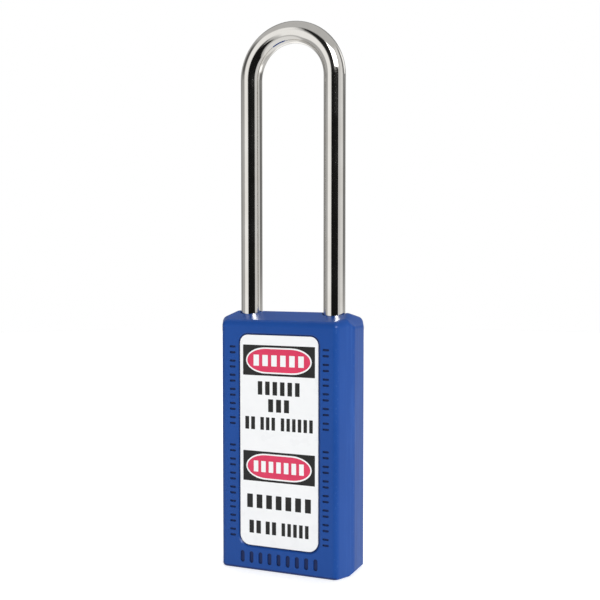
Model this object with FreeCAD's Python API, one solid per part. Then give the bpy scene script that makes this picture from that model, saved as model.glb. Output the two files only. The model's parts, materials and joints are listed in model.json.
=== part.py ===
"""Safety padlock: tall moulded plastic body, long polished shackle, pin-tumbler cylinder.

Millimetres. The origin is the middle of the body's underside. +Z points up, the front
face looks along -Y, the toe leg of the shackle is at +X and the heel leg is at -X.
The shackle is drawn closed, and the mechanism is drawn unlocked: the plug is turned to
its release position and the two locking balls are drawn in.
"""
import FreeCAD, Part
import math
import os

V = FreeCAD.Vector
ORIGIN = V(0, 0, 0)
TINY = 1e-6
X_AXIS = V(1, 0, 0)
Y_AXIS = V(0, 1, 0)
Z_AXIS = V(0, 0, 1)

# Body
BODY_WIDTH = 41.5
BODY_DEPTH = 20.8
BODY_HEIGHT = 74.75
FRONT_FLAT = 35.5
SIDE_FLAT = 8.0
RIDGE_HALF_LENGTH = 18.0
FRONT_EAVE_Z = 72.4
SIDE_EAVE_Z = 71.1
FOOT_BEVEL_WIDTH = 1.2
FOOT_BEVEL_HEIGHT = 1.1
CORNER_RADIUS = 2.0
ROOF_EDGE_RADIUS = 2.0
FOOT_EDGE_RADIUS = 0.8
WALL = 2.2
TOP_WALL = 3.95

# Clearances between pieces, and how far a cutter runs past a face or two fused pieces overlap
GAP = 0.2
RUNNING_GAP = 0.1
FINE_GAP = 0.05
PAST = 1.0
OVERLAP = 0.5

# Shackle
SHACKLE_RADIUS = 6.35 / 2
LEG_X = 13.1
CLEARANCE_HEIGHT = 77.75
LEG_HOLE_RADIUS = 3.45
LEG_HOLE_LIP = 0.3
LEG_GUIDE_RADIUS = SHACKLE_RADIUS + 0.075
TOE_END_Z = 58.0
HEEL_END_Z = 24.0
SHACKLE_LIFT = 19.0
END_CHAMFER = 0.8

# Label recesses and labels
LABEL_HALF_WIDTH = 12.1
LABEL_BOTTOM_Z = 7.3
LABEL_TOP_Z = 68.4
LABEL_TOP_RADIUS = 2.4
LABEL_BOTTOM_RADIUS = 3.0
LABEL_THICKNESS = 0.25
LABEL_MARGIN = 0.15
RECESS_DEPTH = 0.45
RECESS_SLOPE = 0.6

# Engraved marks: pairs of short grooves beside the label, a row of slots below it
ENGRAVE_DEPTH = 0.35
GROOVE_ROUNDING = 0.48
MARK_X = 14.45
MARK_WIDTH = 1.9
MARK_BAR = 0.62
MARK_BAR_PITCH = 1.7
MARK_ROWS = ((43.4, 6, 4.12), (10.6, 7, 4.13))
FOOT_SLOT_COUNT = 9
FOOT_SLOT_PITCH = 2.85
FOOT_SLOT_WIDTH = 1.25
FOOT_SLOT_HEIGHT = 3.4
FOOT_SLOT_Z = 3.75

# Bottom cap and cylinder
CAP_THICKNESS = 4.0
FACE_Z = 0.8
COLLAR_RADIUS = 7.3
COLLAR_TOP_Z = 2.6
COLLAR_CHAMFER = 0.3
BARREL_RADIUS = 6.6
BARREL_TOP_Z = 31.0
PLUG_RADIUS = 5.0
PLUG_FLANGE_RADIUS = 5.6
PLUG_FLANGE_TOP_Z = 2.35
PLUG_END_Z = 32.6
BARREL_BORE_TOP_Z = 33.0
PIN_BLOCK_HALF_WIDTH = 3.3
PIN_BLOCK_X = 16.4
SCREW_LUG_X = 9.6
SCREW_LUG_TOP_Z = 36.0
COVER_X = 15.0
COVER_THICKNESS = 0.9
COVER_HALF_WIDTH = 1.9
COVER_OVERHANG = 2.2

# Pins
PIN_COUNT = 6
FIRST_PIN_Z = 7.5
PIN_PITCH = 3.9
PIN_RADIUS = 1.3
PIN_CHAMFER = 0.2
CHAMBER_RADIUS = 1.35
CHAMBER_START_X = 0.2
KEY_PIN_TIPS_X = (0.6, 1.8, 1.1, 2.2, 0.9, 1.5)
KEY_PIN_OUTER_X = 4.75
TIP_LENGTH = 0.85
TIP_RADIUS = 0.45
DRIVER_PIN_X = 5.12
DRIVER_PIN_LENGTH = 3.4
PIN_SPRING_RADIUS = 0.95
PIN_SPRING_WIRE = 0.13
PIN_SPRING_TURNS = 6
KEYWAY_TOP_Z = 29.0
KEYWAY = (
    (-7.0, -0.75), (-3.4, -0.75), (-3.0, -1.25), (-1.2, -1.25), (-0.8, -0.55), (2.8, -0.55),
    (2.8, 1.05), (1.0, 1.05), (0.6, 0.45), (-2.0, 0.45), (-2.4, 0.95), (-7.0, 0.95),
)

# Plug clip and driver
CLIP_Z = 31.3
CLIP_THICKNESS = 0.5
CLIP_INNER_RADIUS = 4.45
CLIP_OUTER_RADIUS = 6.1
CLIP_MOUTH_ANGLE = 70.0
BLADE_LENGTH = 4.4
BLADE_WIDTH = 1.8
BLADE_BOTTOM_Z = 30.8
ROD_BOTTOM_Z = 33.2
ROD_RADIUS = 2.5
PIVOT_RADIUS = 2.0
PIVOT_TOP_Z = 69.6

# Locking balls and cam
BALL_Z = 64.0
BALL_RADIUS = 3.0
BALL_TO_LEG_GAP = 0.175
BALL_DRAWN_IN_X = LEG_X - SHACKLE_RADIUS - BALL_TO_LEG_GAP - BALL_RADIUS
BALL_THROW = 1.3
CAM_GAP = 0.15
CAM_LOW = BALL_DRAWN_IN_X - BALL_RADIUS - CAM_GAP
CAM_HALF_HEIGHT = 3.0
CAM_CHAMBER_GAP = 0.3
CAM_CHAMBER_RADIUS = CAM_LOW + BALL_THROW + CAM_CHAMBER_GAP
BALL_BORE_RADIUS = BALL_RADIUS + RUNNING_GAP
NOTCH_GAP = 0.15
CAM_POINTS_PER_QUARTER = 8

# Heel leg neck and its retaining pin
NECK_RADIUS = 1.95
HEEL_PIN_RADIUS = 1.0
HEEL_PIN_Z = 48.0
HEEL_PIN_X = -(LEG_X - NECK_RADIUS - RUNNING_GAP - HEEL_PIN_RADIUS)
HEEL_PIN_HALF_LENGTH = 7.8
HEEL_PIN_FIT = 0.01
NECK_BOTTOM_Z = HEEL_PIN_Z - HEEL_PIN_RADIUS - SHACKLE_LIFT - RUNNING_GAP
NECK_TOP_Z = HEEL_PIN_Z + 1.5

# Shackle spring and its seat
SEAT_BOTTOM_Z = 7.2
SEAT_THICKNESS = 1.2
SEAT_BOSS_RADIUS = 1.5
SEAT_BOSS_TIP_RADIUS = 1.05
SEAT_BOSS_HEIGHT = 2.2
SPRING_RADIUS = 2.35
SPRING_WIRE = 0.35
SPRING_TURNS = 8

# Carrier screws, and the long screw that pulls the cylinder and the cap up
CARRIER_SCREWS = ((-6.2, 38.0), (6.2, 38.0), (-6.2, 56.0), (6.2, 56.0))
SCREW_RADIUS = 1.0
SCREW_HEAD_RADIUS = 1.9
SCREW_HEAD_HEIGHT = 1.4
SCREW_END_Y = 6.0
SCREW_HEAD_SINK = 0.1
DRIVE_SLOT_DEPTH = 0.8
DRIVE_SLOT_HALF_WIDTH = 0.25
POCKET_X = 4.0
POCKET_WIDTH = 4.2
POCKET_Z = 41.5
POCKET_HEIGHT = 11.0
POCKET_DEPTH = 3.4
LONG_SCREW_RADIUS = 1.25
LONG_SCREW_HOLE_TOP_Z = 52.0
LONG_SCREW_END_Z = 31.2
LONG_SCREW_HEAD_Z = 49.5
LONG_SCREW_HEAD_RADIUS = 2.8
LONG_SCREW_HEAD_HEIGHT = 2.4
HEX_SOCKET_RADIUS = 1.4
HEX_SOCKET_DEPTH = 1.5

CAVITY_TOP_Z = BODY_HEIGHT - TOP_WALL
CARRIER_FRONT_Y = -(BODY_DEPTH / 2 - WALL - GAP)
CARRIER_BOTTOM_Z = CAP_THICKNESS + FINE_GAP
CARRIER_TOP_Z = CAVITY_TOP_Z - GAP
BOW_Z = BODY_HEIGHT + CLEARANCE_HEIGHT + SHACKLE_RADIUS - LEG_X


def upright(radius, bottom, top, x=0.0):
    """A cylinder along Z."""
    return Part.makeCylinder(radius, top - bottom, V(x, 0, bottom), Z_AXIS)


def across(radius, left, right, z):
    """A cylinder along X."""
    return Part.makeCylinder(radius, right - left, V(left, 0, z), X_AXIS)


def through_depth(radius, front, back, x, z):
    """A cylinder along Y."""
    return Part.makeCylinder(radius, back - front, V(x, front, z), Y_AXIS)


def block(x0, x1, y0, y1, z0, z1):
    """A box between two corners."""
    return Part.makeBox(x1 - x0, y1 - y0, z1 - z0, V(x0, y0, z0))


def octagon(inset, bottom, top):
    """The body's plan with every side moved in by inset, as an upright prism."""
    run = (BODY_WIDTH - FRONT_FLAT) / 2
    rise = (BODY_DEPTH - SIDE_FLAT) / 2
    normal_x = rise / math.hypot(run, rise)
    normal_y = run / math.hypot(run, rise)
    half_w = BODY_WIDTH / 2 - inset
    half_d = BODY_DEPTH / 2 - inset
    reach = normal_x * FRONT_FLAT / 2 + normal_y * BODY_DEPTH / 2 - inset
    front = (reach - normal_y * half_d) / normal_x
    side = (reach - normal_x * half_w) / normal_y
    plan = [
        (front, -half_d), (half_w, -side), (half_w, side), (front, half_d),
        (-front, half_d), (-half_w, side), (-half_w, -side), (-front, -half_d),
    ]
    points = [V(x, y, bottom) for x, y in plan + plan[:1]]
    return Part.Face(Part.makePolygon(points)).extrude(V(0, 0, top - bottom))


def edges_at_height(shape, z):
    """The edges that lie wholly in the plane at height z."""
    return [e for e in shape.Edges if all(abs(v.Z - z) < TINY for v in e.Vertexes)]


def vertical_edges(shape):
    """The straight edges along Z."""
    return [e for e in shape.Edges if abs(e.Vertexes[0].Z - e.Vertexes[-1].Z) > BODY_HEIGHT / 2]


def rounded_outline(half_width, z0, z1, y, bottom_radius, top_radius):
    """A rounded rectangle in the plane at y, centred on x = 0."""
    cut = math.sqrt(0.5)

    def corner(sign_x, sign_z, radius):
        cx = sign_x * (half_width - radius)
        cz = (z1 - radius) if sign_z > 0 else (z0 + radius)
        on_side = V(cx + sign_x * radius, y, cz)
        middle = V(cx + sign_x * radius * cut, y, cz + sign_z * radius * cut)
        on_end = V(cx, y, cz + sign_z * radius)
        return on_side, middle, on_end

    lower_right = corner(1, -1, bottom_radius)
    upper_right = corner(1, 1, top_radius)
    upper_left = corner(-1, 1, top_radius)
    lower_left = corner(-1, -1, bottom_radius)
    edges = [
        Part.Arc(*reversed(lower_left)).toShape().Edges[0],
        Part.LineSegment(lower_left[2], lower_right[2]).toShape(),
        Part.Arc(*reversed(lower_right)).toShape().Edges[0],
        Part.LineSegment(lower_right[0], upper_right[0]).toShape(),
        Part.Arc(*upper_right).toShape().Edges[0],
        Part.LineSegment(upper_right[2], upper_left[2]).toShape(),
        Part.Arc(*reversed(upper_left)).toShape().Edges[0],
        Part.LineSegment(upper_left[0], lower_left[0]).toShape(),
    ]
    return Part.Wire(Part.__sortEdges__(edges))


def slot_cutter(x, z, width, height):
    """A groove cutter with round ends for the front face, centred on (x, z)."""
    radius = min(width, height) * GROOVE_ROUNDING
    floor_y = -BODY_DEPTH / 2 + ENGRAVE_DEPTH
    outline = rounded_outline(width / 2, z - height / 2, z + height / 2, floor_y, radius, radius)
    cutter = Part.Face(outline).extrude(V(0, -2 * ENGRAVE_DEPTH, 0))
    cutter.translate(V(x, 0, 0))
    return cutter


def turned_half(shape):
    """A copy turned half a turn about Z, for the back face."""
    copy = shape.copy()
    copy.rotate(ORIGIN, Z_AXIS, 180)
    return copy


def released(shape):
    """Turns a plug piece from the locked position to the release position."""
    shape.rotate(ORIGIN, Z_AXIS, 90)
    return shape


def helix_wire(radius, wire_radius, bottom, height, turns):
    """A coil spring along Z, made as a pipe around a helix."""
    path = Part.makeHelix(height / turns, height, radius)
    start = path.Edges[0].Curve
    tangent = V(0, 2 * math.pi * radius, height / turns)
    section = Part.Wire(Part.makeCircle(wire_radius, V(radius, 0, 0), tangent))
    coil = Part.Wire(path).makePipeShell([section], True, True)
    coil.translate(V(0, 0, bottom))
    return coil


def label_outline(y, margin, grow):
    """The label's outline, enlarged by margin + grow."""
    more = margin + grow
    return rounded_outline(
        LABEL_HALF_WIDTH + more, LABEL_BOTTOM_Z - more, LABEL_TOP_Z + more, y,
        LABEL_BOTTOM_RADIUS + more, LABEL_TOP_RADIUS + more,
    )


def label_recess():
    """Cutter for the front recess, with walls that slope out to the face."""
    face_y = -BODY_DEPTH / 2
    floor = label_outline(face_y + RECESS_DEPTH, LABEL_MARGIN, 0.0)
    mouth = label_outline(face_y, LABEL_MARGIN, RECESS_SLOPE)
    slope = Part.makeLoft([floor, mouth], True, True)
    lead = Part.Face(mouth).extrude(V(0, -PAST, 0))
    return slope.fuse(lead)


def engraving():
    """Every groove in the front face, as a list of separate cutters."""
    cutters = []
    for side in (-1, 1):
        for first_z, count, pitch in MARK_ROWS:
            for i in range(count):
                for offset in (-MARK_BAR_PITCH / 2, MARK_BAR_PITCH / 2):
                    z = first_z + i * pitch + offset
                    cutters.append(slot_cutter(side * MARK_X, z, MARK_WIDTH, MARK_BAR))
    for i in range(FOOT_SLOT_COUNT):
        x = (i - (FOOT_SLOT_COUNT - 1) / 2) * FOOT_SLOT_PITCH
        cutters.append(slot_cutter(x, FOOT_SLOT_Z, FOOT_SLOT_WIDTH, FOOT_SLOT_HEIGHT))
    return cutters


def hipped_block():
    """A block with the body's roof, a ridge along X with four slopes, and bevels under its ends."""
    far_y = BODY_DEPTH
    far_z = BODY_HEIGHT - (BODY_HEIGHT - FRONT_EAVE_Z) * far_y / (BODY_DEPTH / 2)
    gable = [(far_y, 0), (far_y, far_z), (0, BODY_HEIGHT), (-far_y, far_z), (-far_y, 0)]
    end_x = BODY_WIDTH / 2
    upper = [(RIDGE_HALF_LENGTH, BODY_HEIGHT), (end_x, SIDE_EAVE_Z)]
    lower = [(end_x, FOOT_BEVEL_HEIGHT), (end_x - FOOT_BEVEL_WIDTH, 0)]
    right = upper + lower
    left = [(-x, z) for x, z in reversed(right)]
    along = Part.makePolygon([V(-BODY_WIDTH, y, z) for y, z in gable + gable[:1]])
    through = Part.makePolygon([V(x, -BODY_DEPTH, z) for x, z in right + left + right[:1]])
    gabled = Part.Face(along).extrude(V(2 * BODY_WIDTH, 0, 0))
    return gabled.common(Part.Face(through).extrude(V(0, 2 * BODY_DEPTH, 0)))


def roof_edges(shape):
    """The ridge, the hips and the eaves."""
    return [e for e in shape.Edges if min(v.Z for v in e.Vertexes) > CAVITY_TOP_Z]


def leg_hole_rims(shape):
    """The outer edges of the two leg holes."""
    rims = []
    for edge in shape.Edges:
        ends = [v.Point for v in edge.Vertexes]
        middle = edge.valueAt((edge.FirstParameter + edge.LastParameter) / 2)
        from_leg = [math.hypot(abs(p.x) - LEG_X, p.y) for p in ends + [middle]]
        if middle.z > SIDE_EAVE_Z and all(abs(r - LEG_HOLE_RADIUS) < TINY for r in from_leg):
            rims.append(edge)
    return rims


def body_shell():
    outer = octagon(0.0, 0.0, BODY_HEIGHT)
    outer = outer.makeFillet(CORNER_RADIUS, vertical_edges(outer))
    outer = outer.common(hipped_block()).removeSplitter()
    outer = outer.makeFillet(ROOF_EDGE_RADIUS, roof_edges(outer))
    outer = outer.makeFillet(FOOT_EDGE_RADIUS, edges_at_height(outer, 0.0))
    for x in (-LEG_X, LEG_X):
        outer = outer.cut(upright(LEG_HOLE_RADIUS, CAVITY_TOP_Z - PAST, BODY_HEIGHT + PAST, x))
    outer = outer.makeFillet(LEG_HOLE_LIP, leg_hole_rims(outer))
    shell = outer.cut(octagon(WALL, -PAST, CAVITY_TOP_Z))
    recess = label_recess()
    marks = engraving()
    cutters = [recess, turned_half(recess)] + marks + [turned_half(m) for m in marks]
    return shell.cut(Part.makeCompound(cutters))


def bottom_cap():
    cap = octagon(WALL + GAP / 2, 0.0, CAP_THICKNESS)
    cap = cap.cut(upright(BARREL_RADIUS + RUNNING_GAP, -PAST, CAP_THICKNESS + PAST))
    counterbore = upright(COLLAR_RADIUS + RUNNING_GAP, -PAST, COLLAR_TOP_Z + FINE_GAP)
    pin_block_slot = block(
        0.0, PIN_BLOCK_X + GAP, -PIN_BLOCK_HALF_WIDTH - RUNNING_GAP, PIN_BLOCK_HALF_WIDTH + RUNNING_GAP,
        COLLAR_TOP_Z + FINE_GAP, CAP_THICKNESS + PAST,
    )
    return cap.cut(counterbore).cut(pin_block_slot)


def label():
    floor_y = -BODY_DEPTH / 2 + RECESS_DEPTH
    return Part.Face(label_outline(floor_y, 0.0, 0.0)).extrude(V(0, -LABEL_THICKNESS, 0))


def carrier_voids():
    """Everything that the two carrier halves leave open between them."""
    ball_bore = across(BALL_BORE_RADIUS, -LEG_X, LEG_X, BALL_Z)
    cam_chamber = upright(
        CAM_CHAMBER_RADIUS, BALL_Z - CAM_HALF_HEIGHT - CAM_CHAMBER_GAP,
        BALL_Z + CAM_HALF_HEIGHT + CAM_CHAMBER_GAP,
    )
    pin_block = block(
        0.0, PIN_BLOCK_X + RUNNING_GAP, -PIN_BLOCK_HALF_WIDTH - FINE_GAP, PIN_BLOCK_HALF_WIDTH + FINE_GAP,
        0.0, BARREL_TOP_Z,
    )
    screw_lug = block(
        SCREW_LUG_X - RUNNING_GAP, PIN_BLOCK_X + RUNNING_GAP, -PIN_BLOCK_HALF_WIDTH - FINE_GAP,
        PIN_BLOCK_HALF_WIDTH + FINE_GAP, BARREL_TOP_Z, SCREW_LUG_TOP_Z + FINE_GAP,
    )
    voids = [
        upright(BARREL_RADIUS + FINE_GAP, 0.0, BARREL_BORE_TOP_Z),
        pin_block,
        screw_lug,
        upright(ROD_RADIUS + RUNNING_GAP, PLUG_END_Z, BALL_Z),
        cam_chamber,
        upright(PIVOT_RADIUS + FINE_GAP, BALL_Z, PIVOT_TOP_Z + GAP),
        ball_bore,
        upright(LEG_GUIDE_RADIUS, SEAT_BOTTOM_Z - FINE_GAP, BODY_HEIGHT, -LEG_X),
        upright(LEG_GUIDE_RADIUS, LONG_SCREW_HEAD_Z, BODY_HEIGHT, LEG_X),
        upright(LONG_SCREW_RADIUS + RUNNING_GAP, SCREW_LUG_TOP_Z - PAST, LONG_SCREW_HOLE_TOP_Z, LEG_X),
        through_depth(
            HEEL_PIN_RADIUS + HEEL_PIN_FIT, -HEEL_PIN_HALF_LENGTH - FINE_GAP,
            HEEL_PIN_HALF_LENGTH + FINE_GAP, HEEL_PIN_X, HEEL_PIN_Z,
        ),
    ]
    for x, z in CARRIER_SCREWS:
        voids.append(screw_along_y(x, z, FINE_GAP))
    return voids


def screw_along_y(x, z, grow=0.0):
    """A cheese-head screw from the front, enlarged by grow for its hole."""
    head_y = CARRIER_FRONT_Y + SCREW_HEAD_SINK
    seat_y = head_y + SCREW_HEAD_HEIGHT
    mouth_y = head_y if grow == 0.0 else CARRIER_FRONT_Y - PAST
    head = through_depth(SCREW_HEAD_RADIUS + grow, mouth_y, seat_y + grow, x, z)
    shank = through_depth(SCREW_RADIUS + grow, seat_y - OVERLAP, SCREW_END_Y + grow, x, z)
    return head.fuse(shank)


def carrier_half(side):
    """One moulded half, on the side of the split that side names: -1 front, 1 back."""
    whole = octagon(WALL + GAP, CARRIER_BOTTOM_Z, CARRIER_TOP_Z)
    far = BODY_DEPTH
    keep = block(-BODY_WIDTH, BODY_WIDTH, min(0, side * far), max(0, side * far), 0, BODY_HEIGHT)
    half = whole.common(keep)
    pocket_floor_y = side * (-CARRIER_FRONT_Y - POCKET_DEPTH)
    for sign in (-1, 1):
        x0 = min(sign * POCKET_X, sign * (POCKET_X + POCKET_WIDTH))
        y0 = min(pocket_floor_y, side * far)
        y1 = max(pocket_floor_y, side * far)
        half = half.cut(block(x0, x0 + POCKET_WIDTH, y0, y1, POCKET_Z, POCKET_Z + POCKET_HEIGHT))
    for void in carrier_voids():
        half = half.cut(void)
    return half


def carrier_screws():
    screws = []
    for x, z in CARRIER_SCREWS:
        drive = block(
            x - SCREW_HEAD_RADIUS, x + SCREW_HEAD_RADIUS,
            CARRIER_FRONT_Y, CARRIER_FRONT_Y + DRIVE_SLOT_DEPTH,
            z - DRIVE_SLOT_HALF_WIDTH, z + DRIVE_SLOT_HALF_WIDTH,
        )
        screws.append(screw_along_y(x, z).cut(drive))
    return Part.makeCompound(screws)


def heel_retaining_pin():
    ends = (-HEEL_PIN_HALF_LENGTH, HEEL_PIN_HALF_LENGTH)
    pin = through_depth(HEEL_PIN_RADIUS, *ends, HEEL_PIN_X, HEEL_PIN_Z)
    return pin.makeChamfer(PIN_CHAMFER, [e for e in pin.Edges if e.Closed])


def spring_seat():
    top = SEAT_BOTTOM_Z + SEAT_THICKNESS
    disc = upright(LEG_GUIDE_RADIUS - FINE_GAP, SEAT_BOTTOM_Z, top, -LEG_X)
    boss = Part.makeCone(
        SEAT_BOSS_RADIUS, SEAT_BOSS_TIP_RADIUS, SEAT_BOSS_HEIGHT, V(-LEG_X, 0, top), Z_AXIS
    )
    return disc.fuse(boss)


def shackle_spring():
    bottom = SEAT_BOTTOM_Z + SEAT_THICKNESS + SPRING_WIRE + FINE_GAP
    height = HEEL_END_Z - SPRING_WIRE - FINE_GAP - bottom
    spring = helix_wire(SPRING_RADIUS, SPRING_WIRE, bottom, height, SPRING_TURNS)
    spring.translate(V(-LEG_X, 0, 0))
    return spring


def cylinder_housing():
    barrel = upright(BARREL_RADIUS, FACE_Z, BARREL_TOP_Z)
    collar = upright(COLLAR_RADIUS, FACE_Z, COLLAR_TOP_Z)
    collar = collar.makeChamfer(COLLAR_CHAMFER, edges_at_height(collar, FACE_Z))
    pin_block = block(
        0.0, PIN_BLOCK_X, -PIN_BLOCK_HALF_WIDTH, PIN_BLOCK_HALF_WIDTH, COLLAR_TOP_Z + GAP, BARREL_TOP_Z
    )
    lug = block(
        SCREW_LUG_X, PIN_BLOCK_X, -PIN_BLOCK_HALF_WIDTH, PIN_BLOCK_HALF_WIDTH,
        BARREL_TOP_Z - OVERLAP, SCREW_LUG_TOP_Z,
    )
    housing = barrel.fuse(collar).fuse(pin_block).fuse(lug)
    housing = housing.cut(upright(PLUG_RADIUS + FINE_GAP, 0.0, BARREL_TOP_Z + PAST))
    housing = housing.cut(upright(PLUG_FLANGE_RADIUS + FINE_GAP, 0.0, PLUG_FLANGE_TOP_Z + FINE_GAP))
    for z in pin_heights():
        housing = housing.cut(across(CHAMBER_RADIUS, 0.0, COVER_X + OVERLAP, z))
    groove = block(
        COVER_X, PIN_BLOCK_X + PAST, -COVER_HALF_WIDTH - FINE_GAP, COVER_HALF_WIDTH + FINE_GAP,
        pin_heights()[0] - COVER_OVERHANG, pin_heights()[-1] + COVER_OVERHANG,
    )
    screw_hole = upright(LONG_SCREW_RADIUS + FINE_GAP, BARREL_TOP_Z, SCREW_LUG_TOP_Z + PAST, LEG_X)
    return housing.cut(groove).cut(screw_hole).removeSplitter()


def pin_heights():
    return [FIRST_PIN_Z + i * PIN_PITCH for i in range(PIN_COUNT)]


def chamber_cover():
    low = pin_heights()[0] - COVER_OVERHANG + FINE_GAP
    high = pin_heights()[-1] + COVER_OVERHANG - FINE_GAP
    return block(COVER_X, COVER_X + COVER_THICKNESS, -COVER_HALF_WIDTH, COVER_HALF_WIDTH, low, high)


def cylinder_screw():
    shank = upright(LONG_SCREW_RADIUS, LONG_SCREW_END_Z, LONG_SCREW_HEAD_Z + OVERLAP, LEG_X)
    top = LONG_SCREW_HEAD_Z + LONG_SCREW_HEAD_HEIGHT
    head = upright(LONG_SCREW_HEAD_RADIUS, LONG_SCREW_HEAD_Z, top, LEG_X)
    corners = []
    for degrees in range(0, 361, 60):
        angle = math.radians(degrees)
        x = LEG_X + HEX_SOCKET_RADIUS * math.cos(angle)
        corners.append(V(x, HEX_SOCKET_RADIUS * math.sin(angle), top))
    socket = Part.Face(Part.makePolygon(corners)).extrude(V(0, 0, -HEX_SOCKET_DEPTH))
    return shank.fuse(head).cut(socket)


def cylinder_plug():
    plug = upright(PLUG_RADIUS, FACE_Z, PLUG_END_Z)
    plug = plug.fuse(upright(PLUG_FLANGE_RADIUS, FACE_Z, PLUG_FLANGE_TOP_Z))
    keyway = Part.Face(Part.makePolygon([V(x, y, 0) for x, y in KEYWAY + KEYWAY[:1]]))
    plug = plug.cut(keyway.extrude(V(0, 0, KEYWAY_TOP_Z)))
    for z in pin_heights():
        plug = plug.cut(across(CHAMBER_RADIUS, CHAMBER_START_X, PLUG_FLANGE_RADIUS + PAST, z))
    half = BLADE_LENGTH / 2 + RUNNING_GAP
    width = BLADE_WIDTH / 2 + RUNNING_GAP
    plug = plug.cut(block(-half, half, -width, width, BLADE_BOTTOM_Z - RUNNING_GAP, PLUG_END_Z + PAST))
    groove = upright(PLUG_RADIUS + PAST, CLIP_Z - FINE_GAP, CLIP_Z + CLIP_THICKNESS + FINE_GAP)
    groove = groove.cut(upright(CLIP_INNER_RADIUS - FINE_GAP, 0, BODY_HEIGHT))
    return released(plug.cut(groove))


def plug_clip():
    top = CLIP_Z + CLIP_THICKNESS
    ring = upright(CLIP_OUTER_RADIUS, CLIP_Z, top).cut(upright(CLIP_INNER_RADIUS, 0, BODY_HEIGHT))
    mouth_base = V(0, 0, CLIP_Z - CLIP_THICKNESS)
    mouth = Part.makeCylinder(
        CLIP_OUTER_RADIUS + PAST, 3 * CLIP_THICKNESS, mouth_base, Z_AXIS, CLIP_MOUTH_ANGLE
    )
    mouth.rotate(ORIGIN, Z_AXIS, 180 - CLIP_MOUTH_ANGLE / 2)
    return released(ring.cut(mouth))


def key_pin(index):
    tip_x = KEY_PIN_TIPS_X[index]
    z = pin_heights()[index]
    cone = Part.makeCone(TIP_RADIUS, PIN_RADIUS, TIP_LENGTH, V(tip_x, 0, z), X_AXIS)
    return released(cone.fuse(across(PIN_RADIUS, tip_x + TIP_LENGTH, KEY_PIN_OUTER_X, z)))


def driver_pin(index):
    pin = across(PIN_RADIUS, DRIVER_PIN_X, DRIVER_PIN_X + DRIVER_PIN_LENGTH, pin_heights()[index])
    return pin.makeChamfer(PIN_CHAMFER, [e for e in pin.Edges if e.Closed])


def pin_spring(index):
    start = DRIVER_PIN_X + DRIVER_PIN_LENGTH + PIN_SPRING_WIRE + FINE_GAP
    length = COVER_X - PIN_SPRING_WIRE - FINE_GAP - start
    spring = helix_wire(PIN_SPRING_RADIUS, PIN_SPRING_WIRE, 0.0, length, PIN_SPRING_TURNS)
    spring.rotate(ORIGIN, Y_AXIS, 90)
    spring.translate(V(start, 0, pin_heights()[index]))
    return spring


def cam_profile():
    """Closed outline whose radius rises evenly by the ball throw in each quarter turn."""
    low_z = BALL_Z - CAM_HALF_HEIGHT
    edges = []
    for quarter in range(4):
        points = []
        for i in range(CAM_POINTS_PER_QUARTER + 1):
            turned = i / CAM_POINTS_PER_QUARTER
            share = turned if quarter % 2 == 0 else 1 - turned
            angle = (quarter + turned) * math.pi / 2
            radius = CAM_LOW + BALL_THROW * share
            points.append(V(radius * math.cos(angle), radius * math.sin(angle), low_z))
        curve = Part.BSplineCurve()
        curve.interpolate(points)
        edges.append(curve.toShape())
    return Part.Wire(edges)


def driver_cam():
    cam = Part.Face(cam_profile()).extrude(V(0, 0, 2 * CAM_HALF_HEIGHT))
    rod = upright(ROD_RADIUS, ROD_BOTTOM_Z, BALL_Z)
    pivot = upright(PIVOT_RADIUS, BALL_Z, PIVOT_TOP_Z)
    half = BLADE_LENGTH / 2
    blade = block(-half, half, -BLADE_WIDTH / 2, BLADE_WIDTH / 2, BLADE_BOTTOM_Z, ROD_BOTTOM_Z + OVERLAP)
    blade = released(blade)
    return cam.fuse(rod).fuse(pivot).fuse(blade).removeSplitter()


def locking_ball(side):
    return Part.makeSphere(BALL_RADIUS, V(side * BALL_DRAWN_IN_X, 0, BALL_Z))


def leg(x, end_z):
    """One straight leg, chamfered at its lower end."""
    rod = upright(SHACKLE_RADIUS, end_z, BOW_Z, x)
    return rod.makeChamfer(END_CHAMFER, edges_at_height(rod, end_z))


def shackle():
    section = Part.Face(Part.Wire(Part.makeCircle(SHACKLE_RADIUS, V(LEG_X, 0, BOW_Z), Z_AXIS)))
    bow = section.revolve(V(0, 0, BOW_Z), V(0, -1, 0), 180)
    bar = bow.fuse(leg(LEG_X, TOE_END_Z)).fuse(leg(-LEG_X, HEEL_END_Z))
    thrown_x = BALL_DRAWN_IN_X + BALL_THROW
    for side in (-1, 1):
        bar = bar.cut(Part.makeSphere(BALL_RADIUS + NOTCH_GAP, V(side * thrown_x, 0, BALL_Z)))
    slope = SHACKLE_RADIUS - NECK_RADIUS
    sleeve = upright(SHACKLE_RADIUS + PAST, NECK_BOTTOM_Z, NECK_TOP_Z + slope, -LEG_X)
    core = upright(NECK_RADIUS, NECK_BOTTOM_Z - PAST, NECK_TOP_Z + slope + PAST, -LEG_X)
    taper = Part.makeCone(
        NECK_RADIUS, SHACKLE_RADIUS + PAST, slope + PAST, V(-LEG_X, 0, NECK_TOP_Z), Z_AXIS
    )
    return bar.cut(sleeve.cut(core.fuse(taper))).removeSplitter()


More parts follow.
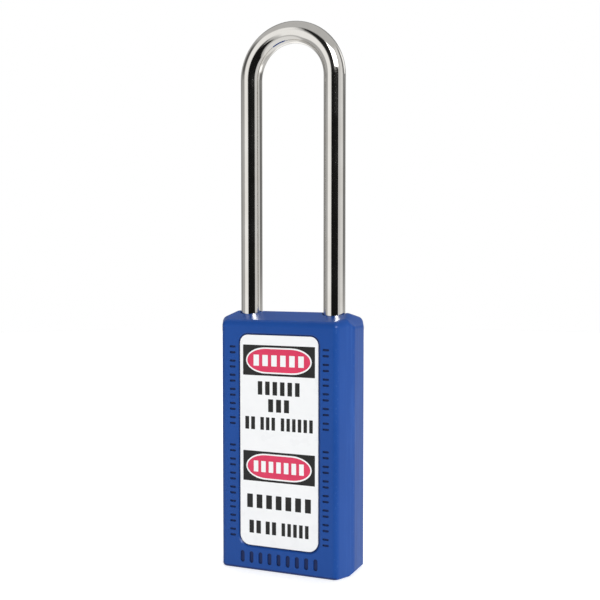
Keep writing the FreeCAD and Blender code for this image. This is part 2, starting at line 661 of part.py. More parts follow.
def nodes():
    """Every separate piece, by name."""
    pieces = {
        "body_shell": body_shell(),
        "bottom_cap": bottom_cap(),
        "front_label": label(),
        "rear_label": turned_half(label()),
        "carrier_front": carrier_half(-1),
        "carrier_rear": carrier_half(1),
        "carrier_screws": carrier_screws(),
        "heel_retaining_pin": heel_retaining_pin(),
        "spring_seat": spring_seat(),
        "shackle_spring": shackle_spring(),
        "cylinder_housing": cylinder_housing(),
        "chamber_cover": chamber_cover(),
        "cylinder_screw": cylinder_screw(),
        "cylinder_plug": cylinder_plug(),
        "plug_clip": plug_clip(),
        "driver_cam": driver_cam(),
        "heel_ball": locking_ball(-1),
        "toe_ball": locking_ball(1),
        "shackle": shackle(),
    }
    for i in range(PIN_COUNT):
        pieces[f"key_pin_{i + 1}"] = key_pin(i)
        pieces[f"driver_pin_{i + 1}"] = driver_pin(i)
        pieces[f"pin_spring_{i + 1}"] = pin_spring(i)
    return pieces


os.makedirs("parts", exist_ok=True)
for name, shape in nodes().items():
    if not shape.isValid() or not shape.Solids:
        raise SystemExit(f"{name} is not a valid solid")
    shape.exportStep(os.path.join("parts", f"{name}.step"))
    print(f"{name}: {len(shape.Solids)} solid(s), {shape.Volume:.1f} mm3")
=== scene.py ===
"""Looks for the safety padlock: materials, label art, studio and camera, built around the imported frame.

Lengths are metres, and small ones are written as millimetres times MM. The label art alone is laid
out in plain millimetres. The front looks along -Y, the right is +X and Z points up.
"""
import json
import math

import bmesh
import bpy
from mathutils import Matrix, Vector


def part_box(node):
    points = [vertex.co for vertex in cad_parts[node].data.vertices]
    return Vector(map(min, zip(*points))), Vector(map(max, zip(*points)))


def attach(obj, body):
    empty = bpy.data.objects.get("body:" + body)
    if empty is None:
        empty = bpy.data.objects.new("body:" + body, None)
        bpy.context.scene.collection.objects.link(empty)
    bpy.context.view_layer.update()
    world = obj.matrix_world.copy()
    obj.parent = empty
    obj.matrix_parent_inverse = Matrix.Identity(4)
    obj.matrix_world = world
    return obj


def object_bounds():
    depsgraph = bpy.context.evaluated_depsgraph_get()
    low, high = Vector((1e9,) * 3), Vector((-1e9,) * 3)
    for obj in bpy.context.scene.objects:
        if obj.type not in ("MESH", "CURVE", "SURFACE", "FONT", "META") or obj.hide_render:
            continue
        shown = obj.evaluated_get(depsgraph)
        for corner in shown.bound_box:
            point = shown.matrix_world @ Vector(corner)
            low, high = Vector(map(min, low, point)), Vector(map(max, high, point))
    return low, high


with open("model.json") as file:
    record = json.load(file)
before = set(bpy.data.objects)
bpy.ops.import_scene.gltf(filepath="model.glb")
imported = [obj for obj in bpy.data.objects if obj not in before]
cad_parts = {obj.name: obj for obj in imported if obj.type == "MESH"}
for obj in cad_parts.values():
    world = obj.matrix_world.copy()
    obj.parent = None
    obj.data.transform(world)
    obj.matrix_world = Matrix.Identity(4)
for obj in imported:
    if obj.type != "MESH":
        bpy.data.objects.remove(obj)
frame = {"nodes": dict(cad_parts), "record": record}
CAD_LOW, CAD_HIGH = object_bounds()

MM = 0.001

# The body's far corner and the half widths of its front and end faces
BODY_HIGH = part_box("body_shell")[1]
FRONT_FLAT_HALF = 17.75 * MM
SIDE_FLAT_HALF = 4.0 * MM

# The label and the shackle: bar diameter, and the place of the legs and of the bow's centre
LABEL_LOW, LABEL_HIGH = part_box("front_label")
SHACKLE_LOW, SHACKLE_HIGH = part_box("shackle")
BAR = SHACKLE_HIGH.y - SHACKLE_LOW.y
LEG_X = SHACKLE_HIGH.x - BAR / 2
BOW_Z = SHACKLE_HIGH.z - BAR / 2 - LEG_X

# Colours of the body's plastic
BLUE = (0.006, 0.057, 0.27)
BLUE_DEEP = (0.005, 0.053, 0.255, 1)
BLUE_PALE = (0.007, 0.061, 0.285, 1)
BLUE_SPECK = (0.012, 0.075, 0.32, 1)
BLUE_SHADE = (0.004, 0.012, 0.06, 1)
BLUE_ENGRAVED = (0.008, 0.011, 0.045, 1)
BLUE_WORN = (0.05, 0.13, 0.40, 1)
# Rub streaks, with painted light: the end faces drawn lighter and bluer where light falls on them
BLUE_RUBS_AND_SIDE_LIGHT = (0.03, 0.11, 0.40, 1)
# Painted shade for the rounded lower edge of the front and back
BLUE_FOOT_SHADE = (0.003, 0.012, 0.085, 1)

# Where the body's material changes. Each pair is where a change starts and where it is complete
ENGRAVING_DEPTH = (0.08 * MM, 0.34 * MM)  # in from the face, to the full dark colour
ENGRAVING_FLOOR = (0.47 * MM, 0.6 * MM)  # in from the face, where engraving can't reach
MARKS_ASIDE = (16.0 * MM, 16.2 * MM)  # aside from the middle, past the last mark
MARKS_ABOVE_LABEL = (1.2 * MM, 1.3 * MM)  # up from the label's top, past the highest mark
MARKS_FOOT = (1.7 * MM, 1.8 * MM)  # up from the underside, below the lowest mark
RECESS_ASIDE = (1.1 * MM, 1.2 * MM)  # aside from the label, past its recess
RECESS_BELOW = (1.2 * MM, 1.3 * MM)  # down from the label, past its recess
WEAR_REACH = (0.2 * MM, 1.1 * MM)  # away from an edge
WEAR_HEIGHT = 0.3 * MM  # up from the underside, where the worn foot edge lies
# Where the painted shade along the foot lies
FOOT_LINE_RISE = (0.45 * MM, 1.05 * MM)  # up from the underside
FOOT_LINE_IN = (0.35 * MM, 0.6 * MM)  # in from the face
FOOT_LINE_RUN = (-0.5 * MM, 1.0 * MM)  # past the end of the front face
RUB_AND_LIGHT_START = 0.5 * MM  # past the end of the front face, where the rub streaks and the painted light on the end faces begin

# Camera
CAMERA_AZIMUTH = math.radians(22.55)
CAMERA_ELEVATION = math.radians(2.67)
CAMERA_DISTANCE = 284.3 * MM
CAMERA_LENS = 58.2
CAMERA_SENSOR = 36.0
CAMERA_CLIP = 10.0 * MM
AIM_HEIGHT = 0.4918 * CAD_HIGH.z
AIM_ASIDE = 2.2 * MM

# Studio panels that polished metal and gloss reflect: azimuth from and to, elevation from and to,
# edge softness, level. Degrees, with azimuth 0 at the camera and positive to its right. Later panels
# cover earlier ones
WALL_LEVEL = 0.6
STUDIO_PANELS = (
    (-160, -74, -40, 12, 8, 0.5),
    (-150, -120, -12, 12, 6, 0.3),
    (-128, -84, 12, 36, 6, 0.12),
    (-78, -38, -34, 36, 5, 1.12),
    (-42, -4, 12, 44, 5, 0.02),
    (36, 70, -45, 46, 4, 0.76),
    (62, 94, -45, 46, 6, 0.9),
    (62, 110, -22, -6, 4, 1.6),
    (90, 112, 10, 42, 5, 0.2),
    (98, 146, -3, 12, 4, 0.2),
    (110, 152, -30, -4, 4, 0.66),
    (114, 138, 13, 34, 4, 1.3),
    (140, 181, 10, 48, 4, 0.3),
    (-181, -148, 10, 48, 4, 0.3),
    (-2, 38, 19, 41, 4, 7.0),
    (-36, -20, -9, 14.5, 2.5, 0.01),
    (-28, 36, -34, 14.5, 2.5, 0.01),
    (8, 36, 10, 19.0, 2.5, 0.01),
    (150, 181, -90, -14, 5, 1.2),
    (-181, -150, -90, -10, 5, 1.3),
    (-181, 181, -90, -44, 5, 0.95),
)
PANEL_COLOUR = (0.985, 0.985, 0.975, 1)
WHITE = (1, 1, 1, 1)
BLACK = (0, 0, 0, 1)

# Light on matt surfaces: an even tent, brighter to the right, and two soft lights
TENT_LEVEL = 0.48
TENT_LEAN = 0.45
SOFTBOX_AZIMUTH = 17.0
SOFTBOX_ELEVATION = 27.0
SOFTBOX_WIDTH = 18.0
SOFTBOX_HEIGHT = 14.0
LIGHT_DISTANCE = 3.0
SOFTBOX_RADIANCE = 20.0
REAR_AZIMUTH = -170.0
REAR_ELEVATION = 55.0
REAR_SIZE = 50.0
REAR_RADIANCE = 2.5

# Floor, a little below the body's underside so that the two never share a plane
FLOOR_TONE = 0.6
FLOOR_GLOW = 0.62
FLOOR_RADIUS = 0.9
FLOOR_DROP = 0.03 * MM

# Label art, in millimetres up from the label's lower edge
PANEL_HALF_WIDTH = 11.16
PANEL_HEIGHT = 8.75
OVAL_HALF_WIDTH = 10.2
OVAL_HALF_HEIGHT = 3.75
OVAL_END = 6.2
OVAL_END_INSET_SHARE = 0.6
OVAL_BORDER = 0.42
INK = 0.02
INK_UPRIGHT_SHARE = 0.6
INK_ROLL = 0.03
PANELS = {"upper": 49.5, "lower": 18.85}
OVAL_MARKS = {"upper": (7.8, 6), "lower": (7.8, 7)}
OVAL_MARK_HEIGHT = 3.2
MARK_GAP_SHARE = 0.42
# Each line: name, foot, height, then its words as (left, right, marks)
LINES = (
    ("line_1", 43.95, 3.9, ((-6.5, 6.5, 6),)),
    ("line_2", 39.1, 3.7, ((-3.25, 3.25, 3),)),
    ("line_3", 33.85, 3.7, ((-10.5, -7.4, 2), (-5.7, -1.1, 3), (0.7, 10.5, 6))),
    ("line_4", 11.0, 4.0, ((-9.95, 9.95, 7),)),
    ("line_5", 3.6, 3.75, ((-9.25, -5.6, 2), (-4.1, -0.8, 2), (0.9, 9.25, 5))),
)


class Nodes:
    """A short way to write shader node trees."""

    def __init__(self, tree):
        self.tree = tree

    def add(self, kind, settings=None, **inputs):
        """A new node. Inputs go by socket name, with _ for a space, or by number as i0, i1 and so on."""
        node = self.tree.nodes.new("ShaderNode" + kind)
        for key, value in (settings or {}).items():
            setattr(node, key, value)
        for key, value in inputs.items():
            self.feed(node, int(key[1:]) if key[1:].isdigit() else key.replace("_", " "), value)
        return node

    def feed(self, node, socket, value):
        """Links value to a socket where it is one, and sets it as a constant where it isn't."""
        if isinstance(value, bpy.types.NodeSocket):
            self.tree.links.new(value, node.inputs[socket])
        else:
            node.inputs[socket].default_value = value

    def math(self, operation, a, b=0.0, c=0.0):
        return self.add("Math", {"operation": operation}, i0=a, i1=b, i2=c).outputs[0]

    def vector(self, operation, a, b=(0.0, 0.0, 0.0)):
        node = self.add("VectorMath", {"operation": operation}, i0=a, i1=b)
        return node.outputs["Value" if operation in ("DOT_PRODUCT", "LENGTH") else "Vector"]

    def step(self, value, low, high, out_low=0.0, out_high=1.0):
        """Smooth change from out_low to out_high as value goes from low to high."""
        settings = {"interpolation_type": "SMOOTHSTEP"}
        return self.add("MapRange", settings, i0=value, i1=low, i2=high, i3=out_low, i4=out_high).outputs[0]

    def under(self, value, limits, past=0.0):
        """1 while value is under past + limits[0], falling smoothly to 0 at past + limits[1]."""
        return self.step(value, past + limits[0], past + limits[1], 1.0, 0.0)

    def span(self, value, low, high, out_low=0.0, out_high=1.0):
        """Straight-line change from out_low to out_high."""
        return self.add("MapRange", None, i0=value, i1=low, i2=high, i3=out_low, i4=out_high).outputs[0]

    def mix(self, share, a, b):
        """Colour a where share is 0 and colour b where it is 1."""
        node = self.add("Mix", {"data_type": "RGBA", "clamp_factor": False})
        self.feed(node, 0, share)
        self.feed(node, 6, a)
        self.feed(node, 7, b)
        return node.outputs[2]

    def noise(self, vector, scale, detail=3.0, roughness=0.5):
        settings = {"Vector": vector, "Scale": scale, "Detail": detail, "Roughness": roughness}
        return self.add("TexNoise", None, **settings).outputs["Fac"]

    def scaled(self, vector, x, y, z):
        return self.vector("MULTIPLY", vector, (x, y, z))

    def all_of(self, *masks):
        """1 only where every mask is 1."""
        product = masks[0]
        for mask in masks[1:]:
            product = self.math("MULTIPLY", product, mask)
        return product


def new_material(name, base, roughness, metallic=0.0, **more):
    """A Principled material, its node helper, its shader node and its object coordinates."""
    material = bpy.data.materials.new(name)
    material.use_nodes = True
    nodes = Nodes(material.node_tree)
    shader = next(n for n in material.node_tree.nodes if n.type == "BSDF_PRINCIPLED")
    shader.inputs["Base Color"].default_value = (*base, 1.0)
    shader.inputs["Roughness"].default_value = roughness
    shader.inputs["Metallic"].default_value = metallic
    for key, value in more.items():
        shader.inputs[key.replace("_", " ")].default_value = value
    place = nodes.add("TexCoord").outputs["Object"]
    return material, nodes, shader, place


def bump(nodes, height, strength, distance, under=None):
    """A normal raised by height, on top of the normal under it."""
    node = nodes.add("Bump", None, Height=height, Strength=strength, Distance=distance)
    if under is not None:
        nodes.feed(node, "Normal", under)
    return node.outputs["Normal"]


def body_place(nodes, place):
    """How far a point of the body lies aside of its middle, how far to the front or back, and how high."""
    x, y, z = nodes.add("SeparateXYZ", None, Vector=place).outputs
    return nodes.math("ABSOLUTE", x), nodes.math("ABSOLUTE", y), z


def depth_masks(nodes, place):
    """How far the floors of the engraved marks, and the edge round each label, lie in: 0 to 1."""
    aside, away, z = body_place(nodes, place)
    starts, full = ENGRAVING_DEPTH
    floor, inside = ENGRAVING_FLOOR
    sunk = nodes.all_of(
        nodes.step(away, BODY_HIGH.y - full, BODY_HIGH.y - starts, 1.0, 0.0),
        nodes.step(away, BODY_HIGH.y - inside, BODY_HIGH.y - floor),
        nodes.under(aside, MARKS_ASIDE),
        nodes.under(z, MARKS_ABOVE_LABEL, LABEL_HIGH.z),
        nodes.step(z, *MARKS_FOOT),
    )
    near, far = RECESS_ASIDE
    beside = nodes.step(aside, LABEL_HIGH.x + near, LABEL_HIGH.x + far)
    near, far = RECESS_BELOW
    below = nodes.step(z, LABEL_LOW.z - far, LABEL_LOW.z - near, 1.0, 0.0)
    marks = nodes.math("MAXIMUM", beside, below)
    engraved = nodes.math("MULTIPLY", sunk, marks)
    edge = nodes.math("MULTIPLY", sunk, nodes.math("SUBTRACT", 1.0, marks))
    return engraved, edge


def edge_wear(nodes, place):
    """Small scuffs along the body's upright corners and its foot: 0 to 1."""
    aside, away, z = body_place(nodes, place)
    flat = nodes.add("CombineXYZ", None, X=aside, Y=away).outputs[0]
    nearest = nodes.math("SUBTRACT", z, WEAR_HEIGHT)
    for corner in ((FRONT_FLAT_HALF, BODY_HIGH.y), (BODY_HIGH.x, SIDE_FLAT_HALF)):
        apart = nodes.vector("LENGTH", nodes.vector("SUBTRACT", flat, (*corner, 0.0)))
        nearest = nodes.math("MINIMUM", nearest, apart)
    scuffs = nodes.step(nodes.noise(place, 1300.0, 4.0, 0.65), 0.56, 0.66)
    return nodes.math("MULTIPLY", nodes.under(nearest, WEAR_REACH), scuffs)


def painted_foot_shade(nodes, place):
    """Painted shade: a dark line on the rounded lower edge of the front and back, standing in for the
    contact shadow under it: 0 to 1.
    """
    aside, away, z = body_place(nodes, place)
    near, far = FOOT_LINE_IN
    return nodes.all_of(
        nodes.under(z, FOOT_LINE_RISE),
        nodes.step(away, BODY_HIGH.y - far, BODY_HIGH.y - near),
        nodes.under(aside, FOOT_LINE_RUN, FRONT_FLAT_HALF),
    )


def blue_plastic():
    """Moulded blue thermoplastic: faint flow marks, fine grain, scuffs and darker engraving, with painted
    shade along the foot's front and back edge and painted light on the end faces.
    """
    material, nodes, shader, place = new_material("blue_plastic", BLUE, 0.3, Specular_IOR_Level=0.22)
    cloud = nodes.noise(place, 45.0, 4.0)
    grain = nodes.noise(place, 2600.0, 2.0)
    scuff = nodes.noise(nodes.scaled(place, 900.0, 900.0, 60.0), 1.0, 4.0, 0.6)
    engraved, edge = depth_masks(nodes, place)
    wear = edge_wear(nodes, place)
    aside = body_place(nodes, place)[0]
    # Rub streaks and painted light: the end faces grow lighter and bluer towards the sides
    ends = nodes.step(aside, FRONT_FLAT_HALF + RUB_AND_LIGHT_START, BODY_HIGH.x, 0.0, 0.32)

    colour = nodes.mix(nodes.span(cloud, 0.3, 0.7), BLUE_DEEP, BLUE_PALE)
    for share, over in (
        (nodes.step(grain, 0.62, 0.72, 0.0, 0.25), BLUE_SPECK),
        (nodes.math("MULTIPLY", edge, 0.75), BLUE_SHADE),
        (nodes.math("MULTIPLY", engraved, 0.8), BLUE_ENGRAVED),
        (nodes.math("MULTIPLY", wear, 0.35), BLUE_WORN),
        (nodes.math("MULTIPLY", nodes.step(scuff, 0.42, 0.68), ends), BLUE_RUBS_AND_SIDE_LIGHT),
        # Painted shade along the foot's rounded front and back edge
        (nodes.math("MULTIPLY", painted_foot_shade(nodes, place), 0.85), BLUE_FOOT_SHADE),
    ):
        colour = nodes.mix(share, colour, over)
    nodes.feed(shader, "Base Color", colour)

    rough = nodes.span(cloud, 0.25, 0.75, 0.28, 0.36)
    for more in (
        nodes.step(scuff, 0.62, 0.8, 0.0, 0.12),
        nodes.math("MULTIPLY", engraved, 0.15),
        nodes.math("MULTIPLY", wear, 0.12),
    ):
        rough = nodes.math("ADD", rough, more)
    nodes.feed(shader, "Roughness", rough)

    waves = bump(nodes, nodes.noise(place, 160.0, 2.0), 0.05, 0.5 * MM)
    nodes.feed(shader, "Normal", bump(nodes, grain, 0.05, 0.05 * MM, waves))
    return material


def plated_bar():
    """Polished plated bar: fine lines drawn along it, faint haze and hairline scratches."""
    material, nodes, shader, place = new_material("plated_bar", (0.72, 0.70, 0.67), 0.08, 1.0)
    x, y, z = nodes.add("SeparateXYZ", None, Vector=place).outputs
    above = nodes.math("MAXIMUM", nodes.math("SUBTRACT", z, BOW_Z), 0.0)
    # Distance from the bow's centre, or from the middle plane below it, is even along the whole bar
    across = nodes.vector("LENGTH", nodes.add("CombineXYZ", None, X=x, Y=above).outputs[0])
    along = nodes.add("CombineXYZ", None, X=across, Y=y, Z=nodes.math("MULTIPLY", z, 0.02)).outputs[0]
    lines = nodes.noise(along, 9000.0, 3.0, 0.6)
    haze = nodes.noise(place, 120.0, 4.0, 0.6)
    fleck = nodes.noise(place, 1800.0, 2.0)
    tone = nodes.mix(nodes.span(haze, 0.3, 0.7), (0.68, 0.655, 0.62, 1), (0.74, 0.725, 0.70, 1))
    nodes.feed(shader, "Base Color", tone)
    rough = nodes.span(haze, 0.3, 0.75, 0.05, 0.11)
    nodes.feed(shader, "Roughness", nodes.math("ADD", rough, nodes.step(lines, 0.6, 0.8, 0.0, 0.05)))
    fine = bump(nodes, lines, 0.03, 0.01 * MM)
    nodes.feed(shader, "Normal", bump(nodes, fleck, 0.02, 0.02 * MM, fine))
    return material


def machined(name, base, dark, roughness):
    """Turned or drawn metal: fine rings, with tarnish."""
    material, nodes, shader, place = new_material(name, base, roughness, 1.0)
    x, y, z = nodes.add("SeparateXYZ", None, Vector=place).outputs
    radius = nodes.vector("LENGTH", nodes.add("CombineXYZ", None, X=x, Y=y).outputs[0])
    turned = nodes.add("CombineXYZ", None, X=radius, Z=z).outputs[0]
    rings = nodes.noise(turned, 6000.0, 2.0)
    tarnish = nodes.noise(place, 300.0, 5.0, 0.6)
    nodes.feed(shader, "Base Color", nodes.mix(nodes.step(tarnish, 0.45, 0.75), (*base, 1), (*dark, 1)))
    nodes.feed(shader, "Roughness", nodes.span(tarnish, 0.3, 0.8, roughness - 0.06, roughness + 0.12))
    nodes.feed(shader, "Normal", bump(nodes, rings, 0.12, 0.02 * MM))
    return material


def carrier_nylon():
    """Dark glass-filled nylon with fibre streaks."""
    material, nodes, shader, place = new_material("carrier_nylon", (0.03, 0.033, 0.036), 0.6)
    fibre = nodes.noise(nodes.scaled(place, 1.0, 1.0, 0.2), 3500.0, 3.0)
    nodes.feed(shader, "Base Color", nodes.mix(fibre, (0.022, 0.024, 0.027, 1), (0.05, 0.053, 0.057, 1)))
    nodes.feed(shader, "Roughness", nodes.span(fibre, 0.3, 0.7, 0.5, 0.7))
    nodes.feed(shader, "Normal", bump(nodes, fibre, 0.25, 0.05 * MM))
    return material


def printed(name, base, other, roughness):
    """Smooth laminate or ink: faint mottle, slight orange peel, fine rub marks."""
    material, nodes, shader, place = new_material(name, base, roughness, Specular_IOR_Level=0.25)
    mottle = nodes.noise(place, 260.0, 4.0)
    peel = nodes.noise(place, 1400.0, 2.0)
    rub = nodes.noise(nodes.scaled(place, 60.0, 60.0, 900.0), 1.0, 4.0, 0.6)
    nodes.feed(shader, "Base Color", nodes.mix(nodes.span(mottle, 0.3, 0.7), (*base, 1), (*other, 1)))
    rough = nodes.span(mottle, 0.3, 0.7, roughness - 0.04, roughness + 0.04)
    nodes.feed(shader, "Roughness", nodes.math("ADD", rough, nodes.step(rub, 0.6, 0.8, 0.0, 0.08)))
    nodes.feed(shader, "Normal", bump(nodes, peel, 0.04, 0.03 * MM))
    return material


MATERIALS = {
    "blue_body": blue_plastic(),
    "plated_steel": plated_bar(),
    "label_white": printed("label_laminate", (0.81, 0.82, 0.83), (0.835, 0.843, 0.85), 0.3),
    "label_black": printed("ink_black", (0.012, 0.012, 0.012), (0.018, 0.018, 0.018), 0.38),
    "label_red": printed("ink_red", (0.62, 0.036, 0.10), (0.67, 0.045, 0.115), 0.36),
    "carrier_nylon": carrier_nylon(),
    "bright_steel": machined("bright_steel", (0.62, 0.62, 0.63), (0.5, 0.5, 0.51), 0.18),
    "zinc_steel": machined("zinc_steel", (0.5, 0.5, 0.49), (0.36, 0.36, 0.35), 0.38),
    "spring_wire": machined("spring_wire", (0.45, 0.45, 0.46), (0.3, 0.3, 0.31), 0.32),
    "brass": machined("brass", (0.68, 0.49, 0.2), (0.45, 0.3, 0.12), 0.34),
    "brass_plug": machined("brass_plug", (0.76, 0.58, 0.28), (0.55, 0.38, 0.16), 0.24),
}


def dress_frame():
    """Gives every CAD node the material of its slot."""
    for entry in frame["record"]["subparts"]:
        node = frame["nodes"][entry["node"]]
        material = MATERIALS[entry["material_slot"]]
        if not node.data.materials:
            node.data.materials.append(material)
        for i in range(len(node.material_slots)):
            node.material_slots[i].material = material


class LabelFace:
    """Places flat art on one label. side is -1 for the front and 1 for the rear."""

    def __init__(self, node, side):
        self.prefix = node.replace("_label", "")
        low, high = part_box(node)
        self.side = side
        self.foot = low.z
        self.surface = low.y if side < 0 else high.y

    def point(self, x, z, layer):
        """A point x aside and z up, in millimetres, and so many ink layers off the label."""
        return Vector((-self.side * x * MM, self.surface + self.side * layer * INK * MM, self.foot + z * MM))

    def piece(self, name, outlines, layer, slot):
        """Closed flat pieces with slightly rolled edges, all one mesh, riding on the body."""
        mesh = bmesh.new()
        for outline in outlines:
            centre = sum((Vector(p) for p in outline), Vector((0, 0))) / len(outline)
            inner = [Vector(p) + (centre - Vector(p)).normalized() * INK_ROLL for p in outline]
            upright = layer + INK_UPRIGHT_SHARE
            rings = []
            for points, height in ((outline, layer), (outline, upright), (inner, layer + 1.0)):
                rings.append([mesh.verts.new(self.point(p[0], p[1], height)) for p in points])
            for lower, upper in zip(rings, rings[1:]):
                for i in range(len(outline)):
                    j = (i + 1) % len(outline)
                    mesh.faces.new((lower[i], lower[j], upper[j], upper[i]))
            mesh.faces.new(rings[0])
            mesh.faces.new(rings[-1])
        bmesh.ops.recalc_face_normals(mesh, faces=mesh.faces)
        data = bpy.data.meshes.new(f"{self.prefix}_{name}")
        mesh.to_mesh(data)
        mesh.free()
        data.materials.append(MATERIALS[slot])
        obj = bpy.data.objects.new(data.name, data)
        bpy.context.scene.collection.objects.link(obj)
        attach(obj, "body")


def rectangle(x0, x1, z0, z1, radius=0.12, steps=4):
    """A rectangle with small round corners, anticlockwise."""
    points = []
    corners = ((x1 - radius, z0 + radius, -90), (x1 - radius, z1 - radius, 0),
               (x0 + radius, z1 - radius, 90), (x0 + radius, z0 + radius, 180))
    for cx, cz, start in corners:
        for i in range(steps + 1):
            angle = math.radians(start + 90 * i / steps)
            points.append((cx + radius * math.cos(angle), cz + radius * math.sin(angle)))
    return points


def oval(middle, inset, steps=20):
    """A long oval: straight above and below, with elliptical ends."""
    half_w = OVAL_HALF_WIDTH - inset
    half_h = OVAL_HALF_HEIGHT - inset
    end = OVAL_END - inset * OVAL_END_INSET_SHARE
    points = []
    for side, start in ((1, -90), (-1, 90)):
        for i in range(steps + 1):
            angle = math.radians(start + 180 * i / steps)
            x = side * (half_w - end) + end * math.cos(angle)
            points.append((x, middle + half_h * math.sin(angle)))
    return points


def mark_row(left, right, foot, height, count):
    """Plain upright bars, evenly spaced: they stand where a label has its words."""
    gap = (right - left) / count * MARK_GAP_SHARE
    width = ((right - left) - gap * (count - 1)) / count
    starts = [left + i * (width + gap) for i in range(count)]
    return [rectangle(x, x + width, foot, foot + height) for x in starts]


def label_art(face):
    """Two dark panels with red ovals, and five lines of plain marks."""
    for name, foot in PANELS.items():
        middle = foot + PANEL_HEIGHT / 2
        panel = rectangle(-PANEL_HALF_WIDTH, PANEL_HALF_WIDTH, foot, foot + PANEL_HEIGHT)
        face.piece(f"panel_{name}", [panel], 0, "label_black")
        face.piece(f"oval_border_{name}", [oval(middle, 0.0)], 1, "label_white")
        face.piece(f"oval_{name}", [oval(middle, OVAL_BORDER)], 2, "label_red")
        half, count = OVAL_MARKS[name]
        foot_of_marks = middle - OVAL_MARK_HEIGHT / 2
        marks = mark_row(-half, half, foot_of_marks, OVAL_MARK_HEIGHT, count)
        face.piece(f"oval_marks_{name}", marks, 3, "label_white")
    for name, foot, height, words in LINES:
        outlines = []
        for left, right, count in words:
            outlines += mark_row(left, right, foot, height, count)
        face.piece(name, outlines, 0, "label_black")


def unit(azimuth, elevation):
    """A direction from the object, from angles in radians. Azimuth 0 is towards -Y, and pi / 2 is +X."""
    return Vector((
        math.sin(azimuth) * math.cos(elevation),
        -math.cos(azimuth) * math.cos(elevation),
        math.sin(elevation),
    ))


def studio_world():
    """White to the camera, lit and dark panels to reflections, and an even tent to all other light."""
    world = bpy.data.worlds.new("studio")
    world.use_nodes = True
    world.node_tree.nodes.clear()
    nodes = Nodes(world.node_tree)
    toward = nodes.add("TexCoord").outputs["Generated"]
    front = nodes.vector("DOT_PRODUCT", toward, unit(CAMERA_AZIMUTH, 0.0))
    right = nodes.vector("DOT_PRODUCT", toward, unit(CAMERA_AZIMUTH + math.pi / 2, 0.0))
    height = nodes.add("SeparateXYZ", None, Vector=toward).outputs[2]
    azimuth = nodes.math("DEGREES", nodes.math("ARCTAN2", right, front))
    elevation = nodes.math("DEGREES", nodes.math("ARCSINE", height))
    level = WALL_LEVEL
    for left, far, low, high, soft, panel_level in STUDIO_PANELS:
        mask = 1.0
        for angle, start, end in ((azimuth, left, far), (elevation, low, high)):
            opens = nodes.step(angle, start - soft, start + soft)
            closes = nodes.step(angle, end - soft, end + soft, 1.0, 0.0)
            mask = nodes.math("MULTIPLY", mask, nodes.math("MULTIPLY", opens, closes))
        change = nodes.math("SUBTRACT", panel_level, level)
        level = nodes.math("MULTIPLY_ADD", mask, change, level)
    tent = nodes.math("MULTIPLY_ADD", right, TENT_LEAN, TENT_LEVEL)
    ray = nodes.add("LightPath").outputs
    panels = nodes.mix(level, BLACK, PANEL_COLOUR)
    lit = nodes.mix(ray["Is Glossy Ray"], nodes.mix(tent, BLACK, WHITE), panels)
    seen = nodes.mix(ray["Is Camera Ray"], lit, WHITE)
    light = nodes.add("Background", None, Color=seen, Strength=1.0)
    nodes.feed(nodes.add("OutputWorld"), "Surface", light.outputs[0])
    bpy.context.scene.world = world


def soft_light(name, azimuth, elevation, width, height, radiance):
    """A rectangular light that looks at the object. Angles are in degrees, seen from the object."""
    data = bpy.data.lights.new(name, "AREA")
    data.shape = "RECTANGLE"
    data.size = 2 * LIGHT_DISTANCE * math.tan(math.radians(width / 2))
    data.size_y = 2 * LIGHT_DISTANCE * math.tan(math.radians(height / 2))
    # A flat lamp sends out pi times its radiance over its area
    data.energy = radiance * math.pi * data.size * data.size_y
    light = bpy.data.objects.new(name, data)
    way = unit(CAMERA_AZIMUTH + math.radians(azimuth), math.radians(elevation))
    light.location = Vector((0, 0, AIM_HEIGHT)) + way * LIGHT_DISTANCE
    light.rotation_mode = "QUATERNION"
    light.rotation_quaternion = way.to_track_quat("Z", "Y")
    light.visible_camera = False
    bpy.context.scene.collection.objects.link(light)
    return light


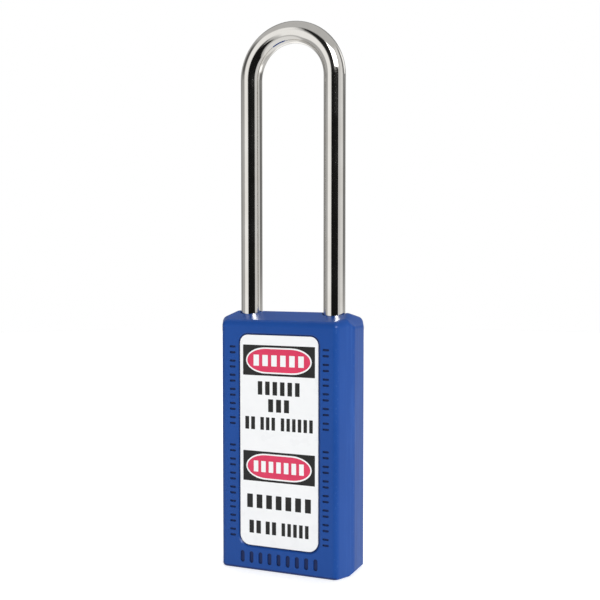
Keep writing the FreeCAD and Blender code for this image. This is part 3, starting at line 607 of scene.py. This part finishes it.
def pale_floor():
    """A pale disc that glows to the white of the walls. It is clear from below, to show the underside."""
    mesh = bmesh.new()
    bmesh.ops.create_circle(mesh, cap_ends=True, segments=96, radius=FLOOR_RADIUS)
    data = bpy.data.meshes.new("floor")
    mesh.to_mesh(data)
    mesh.free()
    material, nodes, shader, place = new_material("floor", (FLOOR_TONE,) * 3, 0.9)
    shader.inputs["Emission Color"].default_value = WHITE
    shader.inputs["Emission Strength"].default_value = FLOOR_GLOW
    nodes.feed(shader, "Normal", bump(nodes, nodes.noise(place, 400.0), 0.05, 0.1 * MM))
    clear = nodes.add("BsdfTransparent").outputs[0]
    below = nodes.add("NewGeometry").outputs["Backfacing"]
    one_sided = nodes.add("MixShader", None, i0=below, i1=shader.outputs[0], i2=clear)
    output = next(n for n in material.node_tree.nodes if n.type == "OUTPUT_MATERIAL")
    nodes.feed(output, "Surface", one_sided.outputs[0])
    data.materials.append(material)
    floor = bpy.data.objects.new("floor", data)
    floor.location.z = -FLOOR_DROP
    floor.visible_glossy = False
    bpy.context.scene.collection.objects.link(floor)


def studio_camera():
    """The camera: a little to the right of the front and a little above, aimed at the lock's middle."""
    data = bpy.data.cameras.new("camera")
    data.lens = CAMERA_LENS
    data.sensor_width = CAMERA_SENSOR
    data.clip_start = CAMERA_CLIP
    camera = bpy.data.objects.new("camera", data)
    back = unit(CAMERA_AZIMUTH, CAMERA_ELEVATION)
    right = Vector((math.cos(CAMERA_AZIMUTH), math.sin(CAMERA_AZIMUTH), 0))
    aim = right * AIM_ASIDE + Vector((0, 0, AIM_HEIGHT))
    camera.location = aim + back * CAMERA_DISTANCE
    camera.rotation_mode = "QUATERNION"
    camera.rotation_quaternion = (-back).to_track_quat("-Z", "Y")
    bpy.context.scene.collection.objects.link(camera)
    bpy.context.scene.camera = camera


dress_frame()
label_art(LabelFace("front_label", -1))
label_art(LabelFace("rear_label", 1))
studio_world()
soft_light("softbox", SOFTBOX_AZIMUTH, SOFTBOX_ELEVATION, SOFTBOX_WIDTH, SOFTBOX_HEIGHT, SOFTBOX_RADIANCE)
rear = soft_light("rear_fill", REAR_AZIMUTH, REAR_ELEVATION, REAR_SIZE, REAR_SIZE, REAR_RADIANCE)
rear.visible_glossy = False
pale_floor()
studio_camera()
bpy.context.scene.view_settings.view_transform = "Standard"
